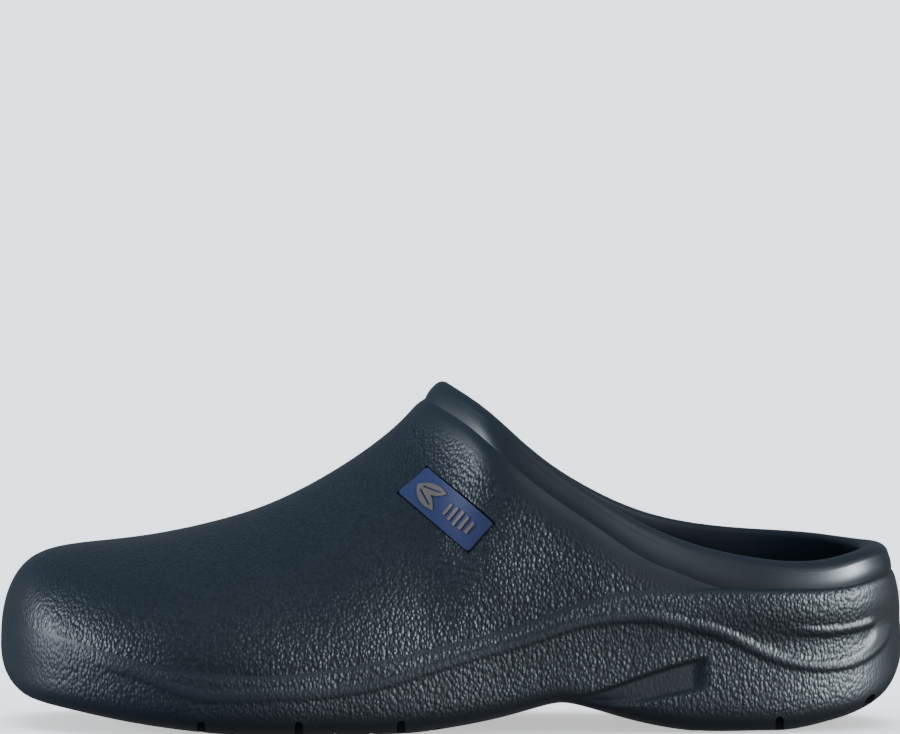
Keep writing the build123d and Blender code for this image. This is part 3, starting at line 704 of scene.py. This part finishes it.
def make_band():
    """The smooth rolled band round the foot opening, as a closed ring.

    A profile point has its share of the face's height, its depth in the round top, its place between
    the outer and inner skin, and its share of the lip.
    """
    angles = even_angles(outer_level, BAND_COLUMNS)
    edge = rim_loop(outer_level, 3.0, angles)
    full = rim_height(edge[:, 0], edge[:, 1]) - band_bottom(edge[:, 0], edge[:, 1])
    throat = 1 - smoothstep(-4, 22, edge[:, 0])
    heel = smoothstep(104, 130, edge[:, 0])
    profile = [(share, BAND_ROUND, across, 0.0) for share, across in ((1.06, 0.30), (1.04, 0.14), (1, 0.05))]
    for share in np.linspace(0.96, 0.0, 17):
        bulge = BAND_BULGE * math.sin(math.pi * min(1.0, (1 - share) * 1.1))
        profile.append((share, BAND_ROUND, 0.02 * share - bulge, math.sin(math.pi * (1 - share) * 0.5)))
    for i in range(1, 20):
        turn = math.pi * i / 20
        profile.append((0.0, BAND_ROUND * (1 - math.sin(turn)), 0.5 - 0.48 * math.cos(turn),
                        max(0.0, math.cos(turn))))
    for share, across in ((0, 1), (0.2, 1.03), (0.4, 1.02), (0.6, 0.95), (0.8, 0.86), (1, 0.74),
                          (1.12, 0.62), (1.15, 0.5)):
        profile.append((share, BAND_ROUND, across, 0.0))
    rings = []
    for share, depth, across, lip in profile:
        down = depth + share * (full - BAND_ROUND)
        a, b = (rim_loop(level, down, angles) for level in (outer_level, foot_level))
        across = across - lip * (LIP_AT_THROAT * throat + LIP_AT_HEEL * heel)
        rings.append(a + (b - a) * across[:, None])
    sheet = np.array([*rings, rings[0]]).transpose(1, 0, 2)
    return sheet_piece("collar_band", sheet, UPPER_RUBBER, 0.005)


# ---- cuts: tread and badge recess
GROOVE_PLACES = (-77.8, -47.3, -15.4, 103.3)
NOTCH_PLACES = ((-77.8, 0.0), (-47.3, 0.0), (-15.4, 0.0), (103.3, 0.0), (130.0, 0.6))  # x and slant
GROOVE_WIDTH = 2.4
GROOVE_DEPTH = 2.5
GROOVE_END_INSET = 11.0  # the grooves end inside the side walls
GROOVE_TAPER = 0.72  # width at a groove's bottom, as a share of that at the ground
NOTCH_REACH = 8.5
NOTCH_HEIGHT = 5.0
NOTCH_HALF_WIDTH = 1.4
NOTCH_ROUND = (1.25, 1.3)  # half width and height of a notch's round top
WAVE_PLACES = (-96, -87, -68, -57, -37, -26, -5, 78, 87, 95, 112, 120)
WAVE_WIDTH = 2.2
WAVE_INSET = 8.0
WAVE_DEPTH = 1.8
WAVE_SWING = 1.6
WAVE_LENGTH = 15.0
BELOW_GROUND = 4.0  # how far the notches' cutters start below the underside
RECESS_GAP = 0.3
RECESS_DEPTH = 0.85


def tube_faces(first, sections, corners):
    """Faces of a closed bar whose section i starts at vertex first + i * corners."""
    faces = [[first + i * corners + k, first + i * corners + (k + 1) % corners,
              first + (i + 1) * corners + (k + 1) % corners, first + (i + 1) * corners + k]
             for i in range(sections - 1) for k in range(corners)]
    last = first + (sections - 1) * corners
    return faces + [list(range(first, first + corners))[::-1], list(range(last, last + corners))]


def cut(piece, vertices, faces):
    """Take the cutter's volume out of the piece."""
    cutter = mesh_piece("cutter", vertices, faces, SOLE_RUBBER, smooth=False)
    weld(cutter, 0.0001)
    boolean = piece.modifiers.new("cut", "BOOLEAN")
    boolean.operation = "DIFFERENCE"
    boolean.object = cutter
    boolean.solver = "EXACT"
    apply_modifiers(piece)
    bpy.data.objects.remove(cutter)


def cut_tread(sole):
    """Straight and wavy grooves across the tread, and the notches in the walls' lower edge."""
    vertices, faces = [], []

    def groove(x, start, end, swing, width, depth, steps):
        faces.extend(tube_faces(len(vertices), steps, 4))
        for y in np.linspace(start, end, steps):
            middle = x + swing * math.sin(2 * math.pi * y / WAVE_LENGTH)
            top = max(float(underside(middle)), 0.0) + depth
            for side, z in ((-1, -3.0), (1, -3.0), (GROOVE_TAPER, top), (-GROOVE_TAPER, top)):
                vertices.append((middle + side * width / 2, y, z))

    for x in GROOVE_PLACES:
        groove(x, outer_side(x) + GROOVE_END_INSET, inner_side(x) - GROOVE_END_INSET, 0.0, GROOVE_WIDTH,
               GROOVE_DEPTH, 2)
    for x in WAVE_PLACES:
        groove(x, outer_side(x) + WAVE_INSET, inner_side(x) - WAVE_INSET, WAVE_SWING, WAVE_WIDTH,
               WAVE_DEPTH, 49)
    cut(sole, vertices, faces)

    vertices, faces = [], []
    half, tall = NOTCH_ROUND
    for x, slant in NOTCH_PLACES:
        base = max(float(underside(x)), 0.0)
        foot = x - BELOW_GROUND * slant
        for edge, way in ((outer_side(x), 1), (inner_side(x), -1)):
            faces.extend(tube_faces(len(vertices), 2, 11))
            for y in (edge - way * BELOW_GROUND, edge + way * NOTCH_REACH):
                vertices.append((foot - NOTCH_HALF_WIDTH, y, base - BELOW_GROUND))
                vertices.append((foot + NOTCH_HALF_WIDTH, y, base - BELOW_GROUND))
                for turn in np.linspace(0, math.pi, 9):
                    z = base + NOTCH_HEIGHT - tall + tall * math.sin(turn)
                    vertices.append((x + half * math.cos(turn) + slant * (z - base), y, z))
    cut(sole, vertices, faces)


def cut_badge_recess(upper):
    """Recess under the badge's plate, with the plate's outline and a bed that is curved like the skin."""
    points = vertex_positions(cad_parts["badge_plate"])
    centre = points.mean(axis=0)
    _, _, (long_way, wide_way, out) = np.linalg.svd(points - centre)
    out = out if out[1] < 0 else -out
    lengths, widths = (points - centre) @ long_way, (points - centre) @ wide_way
    u0, u1 = lengths.min() - RECESS_GAP, lengths.max() + RECESS_GAP
    v0, v1 = widths.min() - RECESS_GAP, widths.max() + RECESS_GAP
    u, v = np.meshgrid(np.linspace(u0, u1, 25), np.linspace(v0, v1, 11), indexing="ij")
    inner = centre + long_way * u[..., None] + wide_way * v[..., None] - out * 5.0
    skin = cast(outer_level, inner, np.broadcast_to(out, inner.shape), reach=20.0)
    bed, top = skin - out * RECESS_DEPTH, skin + out * 6.0
    count, wide = u.shape
    vertices = np.concatenate([bed.reshape(-1, 3), top.reshape(-1, 3)])
    size = count * wide
    faces = grid_faces(count, wide, wrap=False).tolist()
    faces += grid_faces(count, wide, size, wrap=False, flip=True).tolist()
    border = [i * wide for i in range(count)] + [(count - 1) * wide + j for j in range(1, wide)]
    border += [i * wide + wide - 1 for i in range(count - 2, -1, -1)] + list(range(wide - 2, 0, -1))
    for a, b in zip(border, border[1:] + border[:1]):
        faces.append([a, b, b + size, a + size])
    cut(upper, vertices, faces)


# ---- loose insole
INSOLE_WALL_GAP = 1.4
INSOLE_RIM_GAP = 1.0  # keeps the heel part clear of the collar as it lifts out
INSOLE_EDGE_HEIGHT = 3.0
INSOLE_ENDS = (-132.5, 130.4)
INSOLE_BEND_X = 14.0
COLLAR_BACK_X = 126.0
INSOLE_NARROWING = 40.0  # length over which it narrows behind its bend
INSOLE_MIDDLE_Y = 2.0
OUTLINE_POINTS = 221  # on each side of the insole
OUTLINE_KNOTS = 15
LAYER_INSET = 14.0  # width of the finely divided border of a layer
FOAM_LOW, FOAM_HIGH, COVER_HIGH = 0.3, 3.4, 4.6  # layers, from the floor of the foot space
FOAM_GAP = 0.02
FOAM_ROUND, COVER_ROUND = 0.5, 0.7  # radii of the layers' edges
STITCH_INSET = 3.4
STITCH_PITCH = 3.3
STITCH_HALF_LENGTH = 1.15
STITCH_RADIUS = 0.38
STITCH_LIFT, STITCH_DIP = 0.10, 0.34  # over the felt in its middle, and lost at its ends
SEAM_DEPTH, SEAM_HALF_WIDTH = 0.22, 0.9  # how far the felt is drawn in along the seam


def foot_wall(x, z, side):
    """Y of the foot space's wall at x and z, on side -1 or +1."""
    near, far = np.full(x.shape, 3.0), np.full(x.shape, 3.0 + side * 65)
    for _ in range(30):
        middle = (near + far) / 2
        inside = foot_level(x, middle, z) < 1
        near, far = np.where(inside, middle, near), np.where(inside, far, middle)
    return near


def insole_edge(x, side):
    """Y of the insole's edge, clear of the wall and, behind the bend, of the collar as well."""
    wall = side * foot_wall(x, floor_height(x) + INSOLE_EDGE_HEIGHT, side) - INSOLE_WALL_GAP
    behind = np.minimum(x, COLLAR_BACK_X)
    collar = side * foot_wall(behind, rim_mean(behind), side) - INSOLE_RIM_GAP
    blend = np.clip((x - INSOLE_BEND_X) / INSOLE_NARROWING, 0, 1)
    return side * np.minimum(wall, wall + (collar - wall) * blend)


def insole_outline(half_count):
    """Plan points round the insole, at the same places along it on both sides."""
    start, end = INSOLE_ENDS
    turn = np.linspace(0, math.pi, half_count)
    x = (start + end) / 2 - (end - start) / 2 * np.cos(turn)
    knots = np.linspace(0, math.pi, OUTLINE_KNOTS)
    places = (start + end) / 2 - (end - start) / 2 * np.cos(knots[1:-1])
    sides = [insole_edge(places, side) for side in (-1, 1)]
    toe, heel = ((sides[0][i] + sides[1][i]) / 2 for i in (0, -1))
    near, far = (natural_cubic(knots, [toe, *side, heel])(turn) for side in sides)
    return np.concatenate([np.stack([x, near], 1), np.stack([x, far], 1)[-2:0:-1]])


def insole_spine(points):
    """The place on the insole's middle line that is nearest to each outline point."""
    x = np.clip(points[:, 0], SPINE_TOE[0], SPINE_HEEL[0])
    return np.stack([x, np.full(len(x), INSOLE_MIDDLE_Y)], axis=1)


def layer_piece(name, material, low, high, edge_round, seam_depth):
    """Closed layer of the insole with rounded edges, drawn in by seam_depth along the seam.

    A row has an inset from the edge, or a share of the way from the middle to its fine border, and a
    height, or None for the layer's top.
    """
    outline = insole_outline(OUTLINE_POINTS)
    spine = insole_spine(outline)
    reach = np.linalg.norm(outline - spine, axis=1)
    rows = [(None, 0.0, low), (None, 0.5, low)]
    for inset in (LAYER_INSET, 6.0, edge_round, edge_round * 0.3, 0.0):
        lift = 0.0 if inset >= edge_round else edge_round * (1 - math.sqrt(inset / edge_round))
        rows.append((inset, None, low + lift))
    for inset in (0.0, 0.15, 0.4, 0.8, 1.3, 1.9, 2.4, 2.8, 3.1, 3.4, 3.7, 4.0, 4.5, 5.2, 6.4, 8.0, 10.5,
                  LAYER_INSET):
        rows.append((inset, None, None))
    for share in (0.75, 0.5, 0.25, 0.0):
        rows.append((None, share, None))
    sheet = []
    for inset, share, height in rows:
        if share is None:
            near = np.minimum(inset, reach * 0.97)
        else:
            near = reach - share * np.maximum(reach - LAYER_INSET, 0.03 * reach)
        spot = outline + (spine - outline) * (near / reach)[:, None]
        if height is None:
            fall = edge_round * (1 - np.sqrt(1 - np.clip(1 - near / edge_round, 0, 1) ** 2))
            seam = np.exp(-((near - STITCH_INSET) / SEAM_HALF_WIDTH) ** 2)
            height = high - fall - seam_depth * seam
        sheet.append(np.column_stack([spot, floor_height(spot[:, 0]) + height]))
    return sheet_piece(name, np.array(sheet).transpose(1, 0, 2), material, 0.01)


def stitch_line():
    """Evenly spaced places along the seam inside the insole's edge, with their directions."""
    outline = insole_outline(601)
    way = np.roll(outline, -1, axis=0) - np.roll(outline, 1, axis=0)
    way /= np.linalg.norm(way, axis=1, keepdims=True)
    inward = np.stack([-way[:, 1], way[:, 0]], axis=1)
    if (((0, INSOLE_MIDDLE_Y) - outline) * inward).sum() < 0:
        inward = -inward
    seam = outline + inward * STITCH_INSET
    closed = np.concatenate([seam, seam[:1]])
    arc = np.concatenate([[0], np.cumsum(np.linalg.norm(np.diff(closed, axis=0), axis=1))])
    count = round(arc[-1] / STITCH_PITCH)
    spots = (np.arange(count) + 0.5) * arc[-1] / count
    x, y = (np.interp(spots, arc, closed[:, i]) for i in (0, 1))
    ahead = [np.interp(spots + 0.2, arc, closed[:, i]) for i in (0, 1)]
    angle = np.arctan2(ahead[1] - y, ahead[0] - x)
    return x, y, angle


def make_stitching():
    """Rounded dashes of thread that dip into the felt at both ends."""
    vertices, faces = [], []
    sections, corners = 7, 8
    for x, y, angle in zip(*stitch_line()):
        faces.extend(tube_faces(len(vertices), sections, corners))
        for i in range(sections):
            t = 2 * i / (sections - 1) - 1
            half = STITCH_RADIUS * math.sqrt(max(0.06, 1 - abs(t) ** 3))
            along, lift = t * STITCH_HALF_LENGTH, STITCH_LIFT - STITCH_DIP * t ** 4
            for k in range(corners):
                turn = 2 * math.pi * k / corners
                side, up = half * math.cos(turn), half * 0.8 * math.sin(turn) + lift
                px = x + along * math.cos(angle) - side * math.sin(angle)
                py = y + along * math.sin(angle) + side * math.cos(angle)
                vertices.append((px, py, float(floor_height(px)) + COVER_HIGH + up))
    piece = mesh_piece("insole_stitches", vertices, faces, THREAD)
    weld(piece, 0.0005)
    return piece


# ---- the pieces
SHARP_ANGLE = math.radians(38)
LINING_GRAIN = 0.1  # faint skin inside the foot space

sole = make_sole()
cut_tread(sole)
upper = make_upper()
cut_badge_recess(upper)
band = make_band()
for piece in (sole, upper, band):
    piece.data.set_sharp_from_angle(angle=SHARP_ANGLE)


def upper_grain(p):
    """Strength of the upper's pebbled skin: none by the band, weak at the toe's tip and inside."""
    x, y, z = p.T
    amount = smoothstep(2.5, 11.0, band_gap(x, y, z)) * (0.25 + 0.75 * smoothstep(-140, -120, x))
    return np.where(foot_level(x, y, z) < 1.03, LINING_GRAIN, amount)


def sole_grain(p):
    """Strength of the sole's pebbled skin: on the side wall, weaker on its lines and recess."""
    x, y, z = p.T
    rib, loop, wedge = side_masks(x, z)
    amount = smoothstep(3.0, 8.0, z - np.maximum(underside(x), 0)) * smoothstep(0.2, 2.0, sole_top(x) - z)
    amount = amount * (0.25 + 0.75 * smoothstep(-138, -118, x)) * (1 - 0.85 * smoothstep(124, 136, x))
    amount = amount * (1 - 0.55 * rib) * (1 - 0.45 * loop) * (1 - 0.8 * wedge)
    return np.where(foot_level(x, y, z) < 1.03, LINING_GRAIN, amount)


set_grain(sole, sole_grain(vertex_positions(sole)))
set_grain(upper, upper_grain(vertex_positions(upper)))
set_grain(band, np.zeros(len(band.data.vertices)))
for piece, node, slot in ((sole, "sole_unit", "clog_sole"), (upper, "upper_shell", "clog_upper"),
                          (band, None, "clog_upper")):
    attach(piece, "clog")
    if node:
        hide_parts(node)

foam = layer_piece("insole_foam", FOAM, FOAM_LOW, FOAM_HIGH - FOAM_GAP, FOAM_ROUND, 0.0)
cover = layer_piece("insole_felt_cover", FELT, FOAM_HIGH, COVER_HIGH, COVER_ROUND, SEAM_DEPTH)
stitches = make_stitching()
for piece, node, slot in ((foam, "insole_foam", "insole_foam"), (cover, "insole_cover", "insole_felt"),
                          (stitches, "insole_stitching", "insole_thread")):
    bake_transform(piece)
    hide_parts(node + "_front", node + "_rear")
plan_x, plan_y = insole_outline(OUTLINE_POINTS).T

# ---- CAD nodes that keep their shape
for node, material, bevel in (("badge_plate", BADGE_BLUE, 0.25), ("badge_motif", BADGE_GREY, 0.12),
                              ("insole_print", INK, 0.0)):
    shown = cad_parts[node]
    for holder in shown.material_slots:
        holder.material = material
    if bevel:
        rounded = shown.modifiers.new("bevel", "BEVEL")
        rounded.width = bevel * MM
        rounded.segments = 2
        rounded.limit_method = "ANGLE"

# ---- floor, light and camera
FLOOR_REACH = 150.0
floor_mesh = bpy.data.meshes.new("floor")
floor_mesh.from_pydata([(side * FLOOR_REACH, end * FLOOR_REACH, 0)
                        for side, end in ((-1, -1), (1, -1), (1, 1), (-1, 1))], [], [(0, 1, 2, 3)])
floor = bpy.data.objects.new("floor", floor_mesh)
bpy.context.scene.collection.objects.link(floor)
floor_material, floor_shader = new_material("floor", (0.9, 0.9, 0.9), 0.75)
floor_shader.inputs["Emission Color"].default_value = (1, 1, 1, 1)
floor_shader.inputs["Emission Strength"].default_value = 0.7
floor_mesh.materials.append(floor_material)
floor.visible_glossy = False  # the bright floor doesn't light the dark rubber from below
floor.visible_diffuse = False

world = bpy.data.worlds.new("studio")
bpy.context.scene.world = world
world.use_nodes = True
background = world.node_tree.nodes["Background"]
background.inputs["Color"].default_value = (0.92, 0.95, 1.0, 1)
background.inputs["Strength"].default_value = 0.17


def add_sun(name, strength, angle, azimuth, elevation, glossy=True, diffuse=True):
    """Soft distant light of an angular size, from azimuth (0 is the camera's side) and elevation."""
    light = bpy.data.lights.new(name, "SUN")
    light.energy = strength
    light.angle = math.radians(angle)
    light.color = (0.84, 0.93, 1.0)
    lamp = bpy.data.objects.new(name, light)
    turn, tilt = math.radians(azimuth), math.radians(elevation)
    flat = math.cos(tilt)
    source = Vector((math.sin(turn) * flat, -math.cos(turn) * flat, math.sin(tilt)))
    lamp.rotation_mode = "QUATERNION"
    lamp.rotation_quaternion = source.to_track_quat("Z", "Y")
    lamp.visible_glossy = glossy
    lamp.visible_diffuse = diffuse
    bpy.context.scene.collection.objects.link(lamp)


add_sun("left", 3.7, 14, -84, 14)
add_sun("right", 16.0, 26, 66, 11, diffuse=False)
add_sun("front", 1.8, 70, 20, 30, glossy=False)
add_sun("above", 3.2, 60, 180, 78, glossy=False)
add_sun("behind", 2.4, 70, 195, 25, glossy=False)

VIEW_ELEVATION = math.radians(3.5)
VIEW_DISTANCE = 4.0
PIXEL = 0.3160 * MM  # size of a pixel at the clog's middle
IMAGE_WIDTH = 900
SENSOR_WIDTH = 36.0
AIM_OFFSET, AIM_Y, AIM_HEIGHT = -0.0001, 0.005, 0.1124  # the first is from the clog's middle
low, high = CAD_BOX
target = Vector(((low.x + high.x) / 2 + AIM_OFFSET, AIM_Y, AIM_HEIGHT))
camera_data = bpy.data.cameras.new("camera")
camera_data.sensor_width = SENSOR_WIDTH
camera_data.lens = SENSOR_WIDTH * VIEW_DISTANCE / (IMAGE_WIDTH * PIXEL)
camera = bpy.data.objects.new("camera", camera_data)
bpy.context.scene.collection.objects.link(camera)
backward = Vector((0, -math.cos(VIEW_ELEVATION), math.sin(VIEW_ELEVATION)))
camera.location = target + backward * VIEW_DISTANCE
camera.rotation_mode = "QUATERNION"
camera.rotation_quaternion = backward.to_track_quat("Z", "Y")
bpy.context.scene.camera = camera
